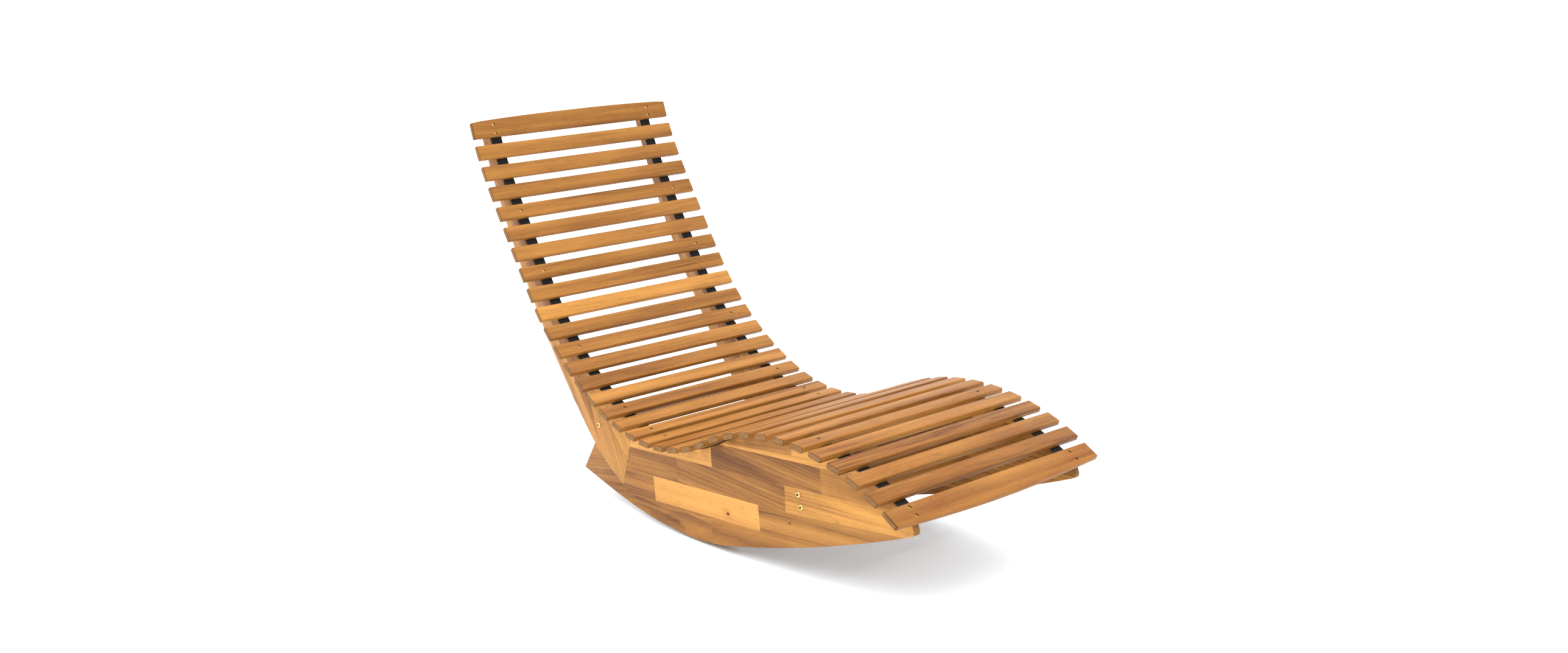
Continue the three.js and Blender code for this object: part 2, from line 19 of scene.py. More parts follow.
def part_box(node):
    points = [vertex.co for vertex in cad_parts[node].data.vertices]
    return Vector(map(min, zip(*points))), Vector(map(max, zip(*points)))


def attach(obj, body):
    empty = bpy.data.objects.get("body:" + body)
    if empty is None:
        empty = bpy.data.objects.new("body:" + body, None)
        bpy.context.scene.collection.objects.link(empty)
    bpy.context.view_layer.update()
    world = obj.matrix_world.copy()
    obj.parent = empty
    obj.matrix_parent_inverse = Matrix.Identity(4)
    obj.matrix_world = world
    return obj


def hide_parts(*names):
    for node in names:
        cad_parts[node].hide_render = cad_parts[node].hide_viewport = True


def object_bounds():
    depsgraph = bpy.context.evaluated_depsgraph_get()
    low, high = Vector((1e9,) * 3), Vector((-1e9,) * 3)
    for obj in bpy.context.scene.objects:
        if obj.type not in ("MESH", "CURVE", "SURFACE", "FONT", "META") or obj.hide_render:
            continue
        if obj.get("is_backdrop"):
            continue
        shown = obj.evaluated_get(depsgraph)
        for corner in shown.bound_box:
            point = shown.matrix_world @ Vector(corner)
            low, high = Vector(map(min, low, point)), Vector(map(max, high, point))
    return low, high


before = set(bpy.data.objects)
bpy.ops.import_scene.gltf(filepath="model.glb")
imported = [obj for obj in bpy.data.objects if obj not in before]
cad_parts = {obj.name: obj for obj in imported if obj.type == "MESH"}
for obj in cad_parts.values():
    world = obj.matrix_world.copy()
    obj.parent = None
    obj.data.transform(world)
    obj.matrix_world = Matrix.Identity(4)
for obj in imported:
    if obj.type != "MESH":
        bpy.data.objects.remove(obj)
cad_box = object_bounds()
print("solids:", len(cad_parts))


def add_object(name, data):
    made = bpy.data.objects.new(name, data)
    bpy.context.scene.collection.objects.link(made)
    return made


def add_mesh_object(name, mesh):
    """Turns a loose mesh into an object."""
    data = bpy.data.meshes.new(name)
    mesh.to_mesh(data)
    mesh.free()
    return add_object(name, data)


# %% [markdown]
# ## Camera
# The photograph is taken from beyond the foot end, on the sitter's right and about 1.3 m above
# the floor. The view was worked out from both ends of all the slats, which are parallel and of
# one length.

# %% Camera
camera_right = Vector((0.6445, 0.7631, -0.0473)).normalized()
camera_back = Vector((0.7516, -0.6210, 0.2225)).normalized()
camera_up = camera_back.cross(camera_right)
camera_turn = Matrix((camera_right, camera_up, camera_back)).transposed().to_4x4()
camera_place = Matrix.Translation((2.9055, -2.3170, 1.3014))

lens = bpy.data.cameras.new("camera")
lens.lens = 37.09
lens.sensor_width = 36
camera = add_object("camera", lens)
camera.matrix_world = camera_place @ camera_turn
bpy.context.scene.camera = camera
print("camera stands at", [round(c, 3) for c in camera.matrix_world.translation])

# %% [markdown]
# ## Sums for finishes
# A finish is a chain of small calculations on grain coordinates and colours. The first class
# wraps one result of such a calculation, so that a finish reads like ordinary arithmetic.
# The second one makes the steps of one finish.

# %% Sums for finishes
def arithmetic(operation):
    """One operation, with the shade as its first and as its second value."""
    return (lambda shade, other: shade.finish.sum(operation, shade, other),
            lambda shade, other: shade.finish.sum(operation, other, shade))


class Shade:
    """One number, vector or colour in a finish."""

    def __init__(self, finish, socket):
        self.finish = finish
        self.socket = socket

    __add__, __radd__ = arithmetic("ADD")
    __sub__, __rsub__ = arithmetic("SUBTRACT")
    __mul__, __rmul__ = arithmetic("MULTIPLY")
    __pow__, __rpow__ = arithmetic("POWER")


class Finish:
    """A finish that is worked out step by step."""

    def __init__(self, name):
        self.material = bpy.data.materials.new(name)
        self.material.use_nodes = True
        self.steps = self.material.node_tree
        self.steps.nodes.clear()

    def step(self, kind, settings, results, **values):
        """Makes one step. Settings come first, then a value or an earlier result for each input."""
        node = self.steps.nodes.new(kind)
        for name, value in settings.items():
            setattr(node, name, value)
        inputs = {socket.identifier.replace(" ", "_"): socket for socket in node.inputs}
        for name, value in values.items():
            if isinstance(value, Shade):
                self.steps.links.new(value.socket, inputs[name])
            else:
                inputs[name].default_value = value
        outputs = {socket.identifier: socket for socket in node.outputs}
        found = [Shade(self, outputs[name]) for name in results]
        return found[0] if len(found) == 1 else found

    def sum(self, operation, first, second=0.0):
        values = {"Value": first, "Value_001": second}
        return self.step("ShaderNodeMath", {"operation": operation}, ["Value"], **values)

    def stretch(self, vector, factors):
        values = {"Vector": vector, "Vector_001": factors}
        return self.step("ShaderNodeVectorMath", {"operation": "MULTIPLY"}, ["Vector"], **values)

    def attribute(self, name, result="Vector"):
        return self.step("ShaderNodeAttribute", {"attribute_name": name}, [result])

    def object_place(self):
        return self.step("ShaderNodeTexCoord", {}, ["Object"])

    def parts(self, vector):
        return self.step("ShaderNodeSeparateXYZ", {}, ["X", "Y", "Z"], Vector=vector)

    def noise(self, vector, across, along, detail=2.0, roughness=0.5):
        """Blots, so many to the metre across the grain (X and Z) and along it (Y)."""
        spread = self.stretch(vector, (across, along, across))
        values = {"Vector": spread, "Scale": 1.0, "Detail": detail, "Roughness": roughness}
        return self.step("ShaderNodeTexNoise", {}, ["Fac"], **values)

    def rise(self, value, low, high):
        """0 up to low, 1 from high on, and a smooth rise between them."""
        settings = {"interpolation_type": "SMOOTHSTEP"}
        values = {"Value": value, "From_Min": low, "From_Max": high}
        return self.step("ShaderNodeMapRange", settings, ["Result"], **values)

    def mix(self, share, first, second, blend="MIX"):
        settings = {"data_type": "RGBA", "blend_type": blend, "clamp_factor": True}
        colours = {"Factor_Float": share, "A_Color": first, "B_Color": second}
        return self.step("ShaderNodeMix", settings, ["Result_Color"], **colours)

    def bump(self, height, distance, strength=1.0):
        values = {"Height": height, "Distance": distance, "Strength": strength}
        return self.step("ShaderNodeBump", {}, ["Normal"], **values)

    def surface(self, **values):
        shader = self.step("ShaderNodeBsdfPrincipled", {}, ["BSDF"], **values)
        output = self.steps.nodes.new("ShaderNodeOutputMaterial")
        self.steps.links.new(shader.socket, output.inputs["Surface"])
        print("finish:", self.material.name, len(self.steps.nodes), "steps")
        return self.material


def colour(red, green, blue):
    """A colour as read off a screen, 0 to 255 each, turned into amounts of light."""
    levels = [level / 255 for level in (red, green, blue)]
    return tuple(((level + 0.055) / 1.055) ** 2.4 for level in levels) + (1.0,)


# %% [markdown]
# ## Studio
# The chair stands in a white studio: a pale floor that runs to the horizon, white all round,
# and two broad soft lights. Both come from nearly overhead, the stronger one a little from the
# near side. So the slats are brightest on their upper faces, darker on their front edges, and
# the shadow under the rockers is soft.

# %% Studio
bpy.context.scene.view_settings.view_transform = "Standard"
sky_strength = 1.4
floor_reach = 700

sky = bpy.data.worlds.new("studio")
sky.use_nodes = True
backdrop = sky.node_tree.nodes["Background"].inputs
backdrop["Color"].default_value = (1.0, 1.0, 1.0, 1.0)
backdrop["Strength"].default_value = sky_strength
bpy.context.scene.world = sky


def soft_light(name, aim, strength, spread):
    """An even light from one direction, spread over an angle in degrees."""
    lamp = bpy.data.lights.new(name, "SUN")
    lamp.energy = strength
    lamp.angle = math.radians(spread)
    turn = Vector(aim).to_track_quat("-Z", "Y").to_matrix()
    add_object(name, lamp).matrix_world = turn.to_4x4()


soft_light("key_light", (0.02, 0.42, -1.0), 2.1, 75)
soft_light("top_light", (-0.1, 0.0, -1.0), 1.15, 100)

floor_mesh = bmesh.new()
bmesh.ops.create_grid(floor_mesh, x_segments=1, y_segments=1, size=floor_reach)
floor = add_mesh_object("floor", floor_mesh)
floor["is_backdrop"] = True
paper = Finish("pale_floor").surface(Base_Color=colour(242, 249, 254), Roughness=0.9)
floor.data.materials.append(paper)
print("floor reaches", floor_reach, "m each way")

# %% [markdown]
# ## Marks in the wood
# Acacia shows growth rings, here about 8 mm apart, that wander along the board and flow round
# the knots. They are worked out in the wood's own directions (across the grain, along it, and
# up from the heart of the tree), so the same rings appear as long streaks on a face and as arcs
# on an end.

# %% Marks in the wood
rings_per_metre = 120.0


def knots(wood):
    """Distance from a knot in knot radii, and how strongly the grain swirls round it."""
    along, across, _ = wood.parts(wood.attribute("knot"))
    distance = wood.sum("SQRT", along * along * 0.45 + across * across)
    return distance, 1.0 - wood.rise(distance, 0.0, 5.0)


def rings(wood, grain, swirl):
    """The way through a growth ring from 0 to 1, and the dark late wood near its end."""
    across, _, height = wood.parts(grain)
    wander = wood.noise(grain, 14.0, 1.2) - 0.5
    ripple = wood.noise(grain, 60.0, 7.0) - 0.5
    radius = wood.sum("SQRT", across * across + height * height)
    count = radius * rings_per_metre + wander * 6.0 + ripple * 0.5 + swirl * 2.5
    ring = wood.sum("FRACT", count)
    return ring, ring ** 2.5 * (1.0 - wood.rise(ring, 0.92, 1.0))


print("rings every", round(1000 / rings_per_metre, 1), "mm")

# %% [markdown]
# ## Oiled acacia
# Over the bare tone of a board lie its marks, like layers of thin stain: late wood, veins, dark
# and pale streaks, short dark pores, knots, and the darker end grain with its sanded rim. Each
# slat or stave has its own tone, warmth and figure.

# %% Oiled acacia
def acacia():
    wood = Finish("oiled_acacia")
    grain = wood.attribute("grain")
    tone, warmth, figure = wood.parts(wood.attribute("tint"))
    end = wood.attribute("end", "Fac")
    from_knot, swirl = knots(wood)
    ring, late_wood = rings(wood, grain, swirl)

    broad = wood.noise(grain, 38.0, 1.3, 3.0)
    streak = wood.noise(grain, 240.0, 4.5, 3.0, 0.6)
    fibre = wood.noise(grain, 1500.0, 22.0, 2.0, 0.6)
    patch = wood.noise(grain, 14.0, 5.0)
    pore = wood.rise(wood.noise(grain, 1300.0, 75.0, 1.0), 0.66, 0.74)
    fleck = wood.rise(wood.noise(grain, 420.0, 34.0), 0.55, 0.75)
    vein = 1.0 - wood.rise(wood.sum("ABSOLUTE", broad - 0.57), 0.0, 0.022)
    cut_end = wood.rise(end, 0.55, 0.95)
    rim = wood.rise(end, 0.2, 0.45) * (1.0 - cut_end)

    shade = tone + (broad - 0.5) * (figure * 1.1 + 0.2) + (patch - 0.5) * 0.25
    common = wood.mix(wood.rise(shade, 0.0, 1.0), colour(202, 142, 67), colour(114, 66, 22))
    bare = wood.mix(wood.rise(0.3 - shade, 0.0, 0.35), common, colour(222, 158, 80))
    red = wood.mix(warmth * wood.rise(patch, 0.3, 0.8), bare, colour(232, 168, 126), "MULTIPLY")
    end_bare = wood.mix(ring * 0.55, colour(138, 100, 56), colour(86, 60, 32))
    end_dots = pore * 0.5 + wood.rise(broad, 0.5, 0.8) * 0.4
    layers = [
        (warmth * 0.4, red),
        (late_wood * figure * wood.rise(broad, 0.25, 0.6) * 0.9, colour(84, 44, 18)),
        (vein * figure * wood.rise(patch, 0.35, 0.6) * 0.7, colour(70, 38, 14)),
        (wood.rise(streak, 0.56, 0.78) * figure * 0.6, colour(84, 48, 18)),
        (wood.rise(1.0 - streak, 0.5, 0.75) * 0.18, colour(206, 146, 66)),
        (pore * 0.28 + fleck * 0.3, colour(66, 36, 14)),
        (swirl * 0.35, colour(150, 86, 34)),
        (1.0 - wood.rise(from_knot, 0.5, 1.1), colour(52, 28, 12)),
        (cut_end * 0.85, wood.mix(end_dots, end_bare, colour(76, 48, 24))),
        (rim * 0.7, colour(70, 42, 22)),
    ]
    stained = bare
    for share, stain in layers:
        stained = wood.mix(share, stained, stain)

    relief = fibre * 0.35 - pore * 0.8 - late_wood * 0.2
    return wood.surface(
        Base_Color=wood.stretch(stained, (0.86, 0.86, 0.86)),
        Roughness=0.46 + (fibre - 0.5) * 0.25 + pore * 0.2 + cut_end * 0.2,
        Normal=wood.bump(relief, 0.00018, 0.6),
        Specular_IOR_Level=0.16,
    )


oiled_acacia = acacia()

# %% [markdown]
# ## Webbing, brass and dowel wood
# The straps are black woven webbing with ribs along their length. Bolts and screws are bright
# yellow brass, and the shade inside their sockets is painted on as a darker brass. Nuts and
# staples are duller. Dowels are plain beech.

# %% Webbing, brass and dowel wood
def black_webbing(rib_pitch, pick_pitch):
    cloth = Finish("black_webbing")
    across, along, _ = cloth.parts(cloth.attribute("grain"))
    rib = cloth.sum("SINE", across * (2 * math.pi / rib_pitch)) * 0.5 + 0.5
    pick = cloth.sum("SINE", along * (2 * math.pi / pick_pitch)) * 0.5 + 0.5
    weave = rib * 0.7 + pick * 0.3
    return cloth.surface(
        Base_Color=cloth.mix(weave, colour(7, 7, 7), colour(27, 27, 26)),
        Roughness=0.8 - weave * 0.15,
        Normal=cloth.bump(weave, 0.0005),
        Specular_IOR_Level=0.25,
    )


def metal(name, bright, dull, polish):
    brass = Finish(name)
    tarnish = brass.rise(brass.noise(brass.object_place(), 420.0, 420.0, 3.0), 0.35, 0.75)
    skin = brass.mix(tarnish, bright, dull)
    return brass.surface(Base_Color=skin, Metallic=1.0, Roughness=tarnish * 0.18 + polish)


def beech():
    wood = Finish("beech_dowel")
    fleck = wood.noise(wood.object_place(), 900.0, 60.0, 3.0)
    body = wood.mix(fleck, colour(226, 196, 152), colour(190, 150, 104))
    return wood.surface(Base_Color=body, Roughness=0.7)


webbing = black_webbing(0.0026, 0.0018)
bright_brass = metal("bright_brass", colour(226, 194, 126), colour(164, 126, 66), 0.22)
dark_brass = metal("dark_brass", colour(176, 140, 78), colour(108, 80, 40), 0.34)
# A darker brass that paints the shade inside the bolt sockets and the screw recesses.
socket_brass = metal("socket_brass", colour(92, 70, 36), colour(48, 36, 18), 0.5)
dowel_wood = beech()

# %% [markdown]
# ## Side lines of the chair
# Seen from the side every long edge is a chain of arcs that run smoothly into each other, as
# a pattern maker would draw it. A place on such a line is a point with a heading. Arcs turn
# left (1) or right (-1). The lines are drawn with the floor contact at the origin and moved
# to the chair's own origin at the end.

# %% Side lines of the chair
Arc = namedtuple("Arc", "length radius turn")
floor_flat = 0.00045
chair_origin = Vector((-0.03013, 0.0, -floor_flat))


class Place:
    """A point on a side line and the heading of the line there."""

    def __init__(self, x, z, heading):
        self.x, self.z, self.heading = x, z, heading

    def after(self, arc):
        heading = self.heading + arc.turn * arc.length / arc.radius
        x = self.x + arc.turn * arc.radius * (math.sin(heading) - math.sin(self.heading))
        z = self.z - arc.turn * arc.radius * (math.cos(heading) - math.cos(self.heading))
        return Place(x, z, heading)

    def beside(self, across, ahead=0.0):
        x = self.x - across * math.sin(self.heading) + ahead * math.cos(self.heading)
        z = self.z + across * math.cos(self.heading) + ahead * math.sin(self.heading)
        return Vector((x, 0.0, z))

    def turned_round(self):
        return Place(self.x, self.z, self.heading + math.pi)


def part_of(arcs, start, end):
    """The arcs that lie between two distances along a chain."""
    found, passed = [], 0.0
    for arc in arcs:
        low, high = max(start, passed), min(end, passed + arc.length)
        if high > low:
            found.append(Arc(high - low, arc.radius, arc.turn))
        passed += arc.length
    return found


def walk(place, arcs, distance=math.inf):
    """The place at the end of a chain of arcs, or after a distance along it."""
    for arc in part_of(arcs, 0.0, distance):
        place = place.after(arc)
    return place


def arc_through(place, target):
    """The arc that leaves a place along its heading and ends on a target point."""
    reach = target - place.beside(0.0)
    bend = math.atan2(reach.z, reach.x) - place.heading
    half = math.atan2(math.sin(bend), math.cos(bend))
    radius = reach.length / (2 * abs(math.sin(half)))
    return Arc(2 * abs(half) * radius, radius, math.copysign(1, half))


seat_low = Place(-0.009, 0.217, 0.0)
back_arcs = [Arc(0.195, 0.460, -1), Arc(0.399, 0.686, -1), Arc(0.297, 6.9, -1),
             Arc(0.173, 0.661, -1)]
front_arcs = [Arc(0.207, 0.460, 1), Arc(0.637, 0.608, -1)]
head_end = walk(seat_low.turned_round(), back_arcs).turned_round()
mat_arcs = [Arc(arc.length, arc.radius, 1) for arc in reversed(back_arcs)] + front_arcs
mat_length = sum(arc.length for arc in mat_arcs)


def mat_place(distance):
    """Place on the line under the slats, at a distance from the head end."""
    return walk(head_end, mat_arcs, distance)


print("mat length", round(mat_length, 4))

# %% [markdown]
# ## Making pieces
# Pieces are shaped as loose meshes and then become objects that ride on the chair and stand
# for their solids. Many come in pairs, left and right.

# %% Making pieces
chance = random.Random(34)
sides = {"left": 1, "right": -1}
smooth_limit = math.radians(35)


def box_difference(piece, node):
    """Largest difference between the boxes of a piece and of its solid, in millimetres."""
    low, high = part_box(node)
    found = 0.0
    for axis in range(3):
        span = [corner[axis] for corner in piece.bound_box]
        found = max(found, abs(min(span) - low[axis]), abs(max(span) - high[axis]))
    return round(found * 1000, 2)


def add_piece(name, mesh, finish, nodes=()):
    """Turns a loose mesh into a piece, and measures it against the solid it replaces."""
    bmesh.ops.translate(mesh, vec=chair_origin, verts=mesh.verts)
    bmesh.ops.recalc_face_normals(mesh, faces=mesh.faces)
    for face in mesh.faces:
        face.smooth = True
    piece = add_mesh_object(name, mesh)
    piece.data.set_sharp_from_angle(angle=smooth_limit)
    piece.data.materials.append(finish)
    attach(piece, "root")
    if nodes:
        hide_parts(*nodes)
        print(name, "is off its solid by", box_difference(piece, nodes[0]), "mm")
    return piece


def add_pair(name, node, make, finish):
    """Makes the left and the right one of a pair of pieces."""
    for side in sides:
        add_piece(f"{name}_{side}", make(side), finish, [f"{node}_{side}"])


# %% [markdown]
# ## Shaping tools
# These stand for the tools of a workshop: a router that rounds edges, a saw, a drill that takes
# one shape out of another, and a lathe.

# %% Shaping tools
edge_angle = 0.5
hair = 0.000001


def sharp_edges(mesh, test):
    """Edges between faces that stand at an angle, where a test on the edge holds."""
    standing = [e for e in mesh.edges if e.is_manifold and e.calc_face_angle() > edge_angle]
    return [edge for edge in standing if test(edge)]


def round_over(mesh, edges, radius, segments):
    bmesh.ops.bevel(
        mesh, geom=edges, offset=radius, segments=segments, profile=0.5, affect="EDGES",
        material=-1, clamp_overlap=True,
    )


def keep_beyond(mesh, point, direction):
    """Saws straight through a point and keeps what lies in a direction from it."""
    bmesh.ops.bisect_plane(
        mesh, geom=mesh.verts[:] + mesh.edges[:] + mesh.faces[:], dist=hair,
        plane_co=point, plane_no=direction, clear_inner=True,
    )
    return mesh


def cut_away(mesh, cutter):
    """Cuts one loose mesh from another."""
    for part in (mesh, cutter):
        bmesh.ops.recalc_face_normals(part, faces=part.faces)
    body, tool = add_mesh_object("body", mesh), add_mesh_object("cutter", cutter)
    modifier = body.modifiers.new("cut", "BOOLEAN")
    modifier.object = tool
    modifier.solver = "EXACT"
    view = bpy.context.evaluated_depsgraph_get()
    made = bpy.data.meshes.new_from_object(body.evaluated_get(view))
    result = bmesh.new()
    result.from_mesh(made)
    for data in (body.data, tool.data, made):
        bpy.data.meshes.remove(data)
    return result


def turned(profile, facets):
    """A part turned about Z from its profile, a list of (radius, height) from end to end."""
    part = bmesh.new()
    corners = [part.verts.new((radius, 0.0, height)) for radius, height in profile]
    for first, second in zip(corners, corners[1:]):
        part.edges.new((first, second))
    bmesh.ops.spin(
        part, geom=part.verts[:] + part.edges[:], cent=(0, 0, 0), axis=(0, 0, 1), dvec=(0, 0, 0),
        angle=2 * math.pi, steps=facets, use_merge=True,
    )
    bmesh.ops.remove_doubles(part, verts=part.verts, dist=0.00001)
    bmesh.ops.recalc_face_normals(part, faces=part.faces)
    return part


def copies(part, places):
    """One loose mesh with a copy of a part at each place."""
    gathered = bmesh.new()
    for place in places:
        data = bpy.data.meshes.new("part")
        part.to_mesh(data)
        data.transform(place)
        gathered.from_mesh(data)
        bpy.data.meshes.remove(data)
    part.free()
    return gathered


# %% [markdown]
# ## Grain
# Each slat and stave comes from its own tree: it gets a tone from light to dark, a warmth, the
# strength of its figure, the direction of its grain and the place of the heart of the tree.
# These are written on each corner of a mesh, where the finish reads them.

# %% Grain
Stock = namedtuple("Stock", "tone warmth figure angle heart shift knot")
no_knot = (9999.0, 0.0, 1.0)


def stock(tone, warmth, figure, angle=0.0):
    """A length of acacia. The angle is its grain's slope in degrees, for staves only. A knot is
    given as x, z and radius in millimetres."""
    heart = (chance.uniform(-0.03, 0.03), chance.uniform(0.02, 0.06))
    shift = chance.uniform(1, 90)
    return Stock(tone, warmth, figure, math.radians(angle), heart, shift, no_knot)


def write_grain(mesh, wood_at, directions, end_at):
    """Writes grain, tint, knot and end marks on a loose mesh, corner by corner."""
    vectors = mesh.loops.layers.float_vector
    grain, tint, knot = [vectors.new(name) for name in ("grain", "tint", "knot")]
    end = mesh.loops.layers.float.new("end")
    for face in mesh.faces:
        wood = wood_at(face)
        mark = end_at(face)
        knot_x, knot_z, size = [length / 1000 for length in wood.knot]
        slope_x, slope_z = math.cos(wood.angle) / size, math.sin(wood.angle) / size
        for loop in face.loops:
            across, along, height = directions(loop.vert.co, wood)
            loop[grain] = (across + wood.heart[0], along + wood.shift, height + wood.heart[1])
            loop[tint] = (wood.tone, wood.warmth, wood.figure)
            x, z = loop.vert.co.x - knot_x, loop.vert.co.z - knot_z
            loop[knot] = (x * slope_x + z * slope_z, z * slope_x - x * slope_z, 0.0)
            loop[end] = mark


# %% [markdown]
# ## Slats
# A slat is planed stock, 38 by 13.5 mm, with rounded long edges and square ends with only the
# sharpness taken off. The solids show the round as a few flats of 3 mm; a true round of 3.3 mm
# stays just inside them. Slats that are screwed down have a counterbore at each end.

# %% Slat sizes
slat_count = 34
slat_length, slat_width, slat_thickness = 0.600, 0.038, 0.0135
slat_round, end_break, end_rim = 0.0033, 0.0009, 0.0007
head_width, head_bow, head_fullness = 0.0425, 0.0075, 0.5
foot_width, foot_bow, foot_fullness = 0.044, 0.0115, 1.0
end_slats = (1, slat_count)
screwed_slats = [5, 8, 12, 16, 18, 19, 24, 29]
screw_side, screw_aside = 0.238, 0.011
bore_radius, bore_depth, hole_radius = 0.0042, 0.006, 0.0023
plain_width = (slat_count - 2) * slat_width
slat_gap = (mat_length - head_width - foot_width - plain_width) / (slat_count - 1)


def slat_middle(number):
    """Distance of a slat's centre line from the head end."""
    if number == 1:
        return head_width / 2
    if number == slat_count:
        return mat_length - foot_width / 2
    return head_width + (number - 1) * (slat_gap + slat_width) - slat_width / 2


def screw_offsets(number):
    """Places of the screws across a slat: two in the end slats, one in some others."""
    if number in end_slats:
        return [-screw_aside, screw_aside]
    return [0.0] if number in screwed_slats else []


def on_mat(number):
    """Turns and moves a slat's own axes to its place on the mat."""
    place = mat_place(slat_middle(number))
    turn = Matrix.Rotation(-place.heading, 4, "Y")
    return Matrix.Translation(place.beside(0.0)) @ turn


print("slat gap", round(slat_gap * 1000, 2), "mm")

# %% [markdown]
# ## Slat shapes
# The router takes off the long edges of a plain slat first, and then the ends are broken with
# sandpaper. The head and foot slats swell along their outer edge: they are sawn to a template
# and then rounded all the way round. The holes are bored last, with a stepped bit.

# %% Slat shapes
def slat_blank(width):
    blank = bmesh.new()
    bmesh.ops.create_cube(blank, size=1.0)
    bmesh.ops.scale(blank, vec=(width, slat_length, slat_thickness), verts=blank.verts)
    bmesh.ops.translate(blank, vec=(0, 0, slat_thickness / 2), verts=blank.verts)
    return blank


def runs_along(edge):
    first, second = edge.verts
    return abs(first.co.y - second.co.y) > 0.01


def at_end(edge):
    return all(abs(abs(vert.co.y) - slat_length / 2) < 0.00001 for vert in edge.verts)


def straight_slat():
    slat = slat_blank(slat_width)
    round_over(slat, sharp_edges(slat, runs_along), slat_round, 4)
    round_over(slat, sharp_edges(slat, at_end), end_break, 2)
    ends = [face for face in slat.faces if abs(face.normal.y) > 0.99]
    bmesh.ops.inset_region(slat, faces=ends, thickness=end_rim, use_boundary=True)
    return slat


def bowed_slat(width, bow, fullness, side):
    """A wide slat whose long edge on one side swells outwards."""
    slat = slat_blank(width)
    long_edges = [edge for edge in slat.edges if runs_along(edge)]
    bmesh.ops.subdivide_edges(slat, edges=long_edges, cuts=31, use_grid_fill=True)
    reach = slat_length / 2 - slat_round
    for vert in slat.verts:
        share = min(1.0, max(0.0, (reach - vert.co.y) / (2 * reach)))
        if vert.co.x * side > 0:
            vert.co.x += side * bow * abs(math.sin(math.pi * share)) ** fullness
    round_over(slat, sharp_edges(slat, lambda edge: True), slat_round, 4)
    return slat


def counterbores(number):
    """Cutter for the screw holes of one slat."""
    above, below, seat = 0.02, -0.005, slat_thickness - bore_depth
    bore = turned([(0.0, above), (bore_radius, above), (bore_radius, seat), (hole_radius, seat),
                   (hole_radius, below), (0.0, below)], 20)
    return copies(bore, [Matrix.Translation((offset, sign * screw_side, 0.0))
                         for offset in screw_offsets(number) for sign in sides.values()])


# %% [markdown]
# ## Laying the mat
# Thirty-four slats are cut from mixed stock, so no two are of the same tone. Each gets its
# grain while it still lies straight, and is then turned and set on its place on the mat. The
# end faces are marked, because end grain drinks more oil and turns darker.

# %% Laying the mat
def slat_stock(number):
    """Tone of each slat: browner at the head, golden in the back, warmer over seat and knees."""
    warmth = 0.1 + 0.5 * min(1.0, max(0.0, (number - 13) / 8))
    tone = chance.uniform(0.52, 0.66)
    figure = chance.uniform(0.25, 0.5)
    if number == 1:
        tone = 0.72
    if number == 10:
        tone, figure = 0.3, 0.3
    if number > 30:
        tone, warmth = 0.68, 0.75
    if number == 31:
        figure = 1.0
    return stock(tone, warmth, figure)


def slat_end_mark(face):
    """1 on a bare end face, less on its sanded rim and the round behind it, 0 elsewhere."""
    facing = abs(face.normal.y)
    if facing > 0.95:
        return 1.0 if face.calc_area() > 0.0002 else 0.62
    near_end = abs(face.calc_center_median().y) > slat_length / 2 - 0.01
    return 0.5 if facing > 0.2 and near_end else 0.0


def add_slat(number):
    if number == 1:
        slat = bowed_slat(head_width, head_bow, head_fullness, -1)
    elif number == slat_count:
        slat = bowed_slat(foot_width, foot_bow, foot_fullness, 1)
    else:
        slat = straight_slat()
    if screw_offsets(number):
        slat = cut_away(slat, counterbores(number))
    slat.normal_update()
    wood = slat_stock(number)
    write_grain(slat, lambda face: wood, lambda point, _: point, slat_end_mark)
    bmesh.ops.transform(slat, matrix=on_mat(number), verts=slat.verts)
    add_piece(f"acacia_slat_{number:02d}", slat, oiled_acacia, [f"slat_{number:02d}"])


for number in range(1, slat_count + 1):
    add_slat(number)

# %% [markdown]
# ## Drawing a board
# A board's outline is drawn by running one corner along its arcs, as a pencil would on the
# panel. The closed outline becomes a face.

# %% Drawing a board
class Pencil:
    """Draws an outline by running one corner along arcs and lines."""

    def __init__(self, place, aside=0.0):
        self.mesh = bmesh.new()
        self.drawn = self.mesh.verts.layers.float.new("drawn")
        self.place = place
        self.tip = self.mesh.verts.new(place.beside(aside))
        self.first = self.tip

    def arc(self, arc, facet=0.012):
        steps = max(3, math.ceil(arc.length / facet))
        centre = self.place.beside(arc.turn * arc.radius)
        swept = bmesh.ops.spin(
            self.mesh, geom=[self.tip], cent=centre, axis=(0, -arc.turn, 0), dvec=(0, 0, 0),
            angle=arc.length / arc.radius, steps=steps,
        )
        begun = self.tip[self.drawn]
        self.mesh.verts.ensure_lookup_table()
        for count, vert in enumerate(self.mesh.verts[-steps:], 1):
            vert[self.drawn] = begun + arc.length * count / steps
        self.tip = swept["geom_last"][0]
        self.place = self.place.after(arc)

    def line(self, target, heading=None):
        """Draws a straight line. A heading sets the pencil up for an arc that follows."""
        drawn = bmesh.ops.extrude_vert_indiv(self.mesh, verts=[self.tip])
        self.tip = drawn["verts"][0]
        self.tip.co = target
        if heading is not None:
            self.place = Place(target.x, target.z, heading)

    def closed(self):
        bmesh.ops.contextual_create(self.mesh, geom=[self.tip, self.first])
        bmesh.ops.contextual_create(self.mesh, geom=self.mesh.edges[:])
        return self.mesh


# %% [markdown]
# ## Lines of a side frame
# The top edge of a frame follows the mat, a little more than a strap's thickness below the
# slats. From the floor contact the rocker runs forward in two arcs to the blunt toe; the belly
# and the rear edge run back and up to the head.

# %% Lines of a side frame
frame_drop = 0.00245
frame_outer, frame_inner = 0.248, 0.230
rail_start, rail_depth = 0.012, 0.041
toe_end, toe_depth, toe_round = mat_length - 0.007, 0.027, 0.010
toe_slope = math.radians(-70)
seam_on_top, seam_on_belly, seam_gap = 0.922, 0.427, 0.00015

